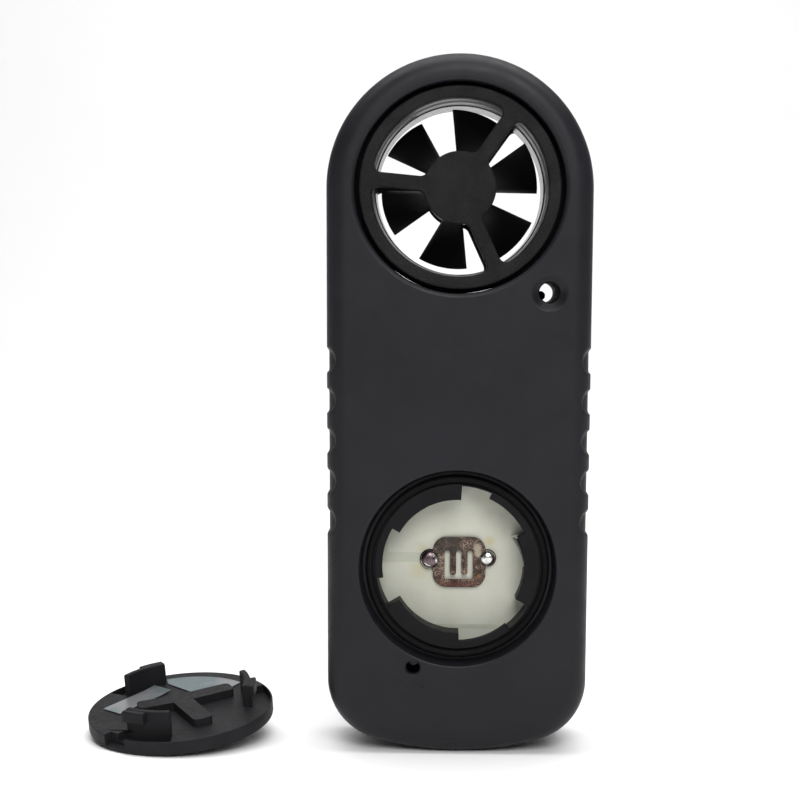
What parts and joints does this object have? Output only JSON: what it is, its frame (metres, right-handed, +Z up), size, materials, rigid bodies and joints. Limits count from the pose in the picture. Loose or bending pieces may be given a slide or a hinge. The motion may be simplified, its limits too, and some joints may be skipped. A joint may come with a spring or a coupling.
{
  "type": "handheld weather meter",
  "caption": "Pocket vane anemometer seen from behind with its battery bay open: black case, round guarded fan at the top, and the round battery cover lying beside it.",
  "frame": {"origin": "centre of the flat rear face, halfway up the case", "axes": "+X right as seen from behind, +Y into the meter towards its display, +Z up along the meter's length to the fan"},
  "size_m": [0.0775, 0.0287, 0.105],
  "materials": {
    "soft_black": "soft-touch black coating, finely worn",
    "textured_black": "fine-grained black moulding",
    "gloss_black": "polished black",
    "vane_black": "satin black",
    "cover_black": "satin black, inner side of a cover",
    "seal_rubber": "black rubber",
    "board_white": "creamy white solder resist",
    "tinned_brown": "tarnished tin",
    "solder": "bright solder",
    "steel": "bright spring steel",
    "display_grey": "grey-green liquid crystal",
    "clear": "clear acrylic",
    "milky": "translucent white",
    "label_silver": "blank dark silver film",
    "magnet": "dark nickel",
    "key_grey": "dark grey rubbery keys"
  },
  "bodies": {
    "meter_body": {"rear_case": "soft_black", "front_case": "soft_black", "front_fascia": "textured_black", "vane_guard_rear": "textured_black", "vane_guard_front": "textured_black", "vane_barrel": "gloss_black", "bearing_cup_rear": "steel", "bearing_cup_front": "steel", "hall_sensor": "gloss_black", "battery_seal_ring": "seal_rubber", "battery_contact_negative": "tinned_brown", "solder_joint_left": "solder", "solder_joint_right": "solder", "battery_contact_positive": "steel", "unit_switch_body": "gloss_black", "main_board": "board_white", "processor_blob": "gloss_black", "crystal_can": "steel", "capacitor": "label_silver", "thermistor": "gloss_black", "backlight_guide": "milky", "lcd_rear_glass": "clear", "lcd_front_glass": "display_grey", "zebra_strip_top": "key_grey", "zebra_strip_bottom": "key_grey", "lcd_holder": "textured_black", "window_gasket": "seal_rubber", "display_window": "clear", "keypad_mat": "seal_rubber", "case_screw_1": "steel", "case_screw_2": "steel", "case_screw_3": "steel", "case_screw_4": "steel", "board_screw_1": "steel", "board_screw_2": "steel", "board_screw_3": "steel", "board_screw_4": "steel"},
    "rotor": {"impeller": "vane_black", "impeller_shaft": "steel", "rotor_magnet": "magnet"},
    "left_key": {"key_left": "key_grey"},
    "right_key": {"key_right": "key_grey"},
    "unit_switch": {"unit_switch_plunger": "milky"},
    "loose_cover": {"battery_cover": "cover_black", "cover_label_round": "label_silver", "cover_label_long": "label_silver"}
  },
  "joints": [
    {"name": "impeller_spin", "type": "hinge", "parent": "meter_body", "child": "rotor", "pos_m": [0, 0.009, 0.0325], "axis": [0, 1, 0], "continuous": true},
    {"name": "key_left_press", "type": "slide", "parent": "meter_body", "child": "left_key", "axis": [0, -1, 0], "range_m": [0, 0.0008], "stiffness_N_per_m": 600},
    {"name": "key_right_press", "type": "slide", "parent": "meter_body", "child": "right_key", "axis": [0, -1, 0], "range_m": [0, 0.0008], "stiffness_N_per_m": 600},
    {"name": "unit_switch_press", "type": "slide", "parent": "meter_body", "child": "unit_switch", "axis": [0, 1, 0], "range_m": [0, 0.0003], "stiffness_N_per_m": 800},
    {"name": "battery_cover_lift", "type": "slide", "parent": "meter_body", "child": "loose_cover", "axis": [0, 0, 1], "range_m": [0, 0.05]}
  ]
}
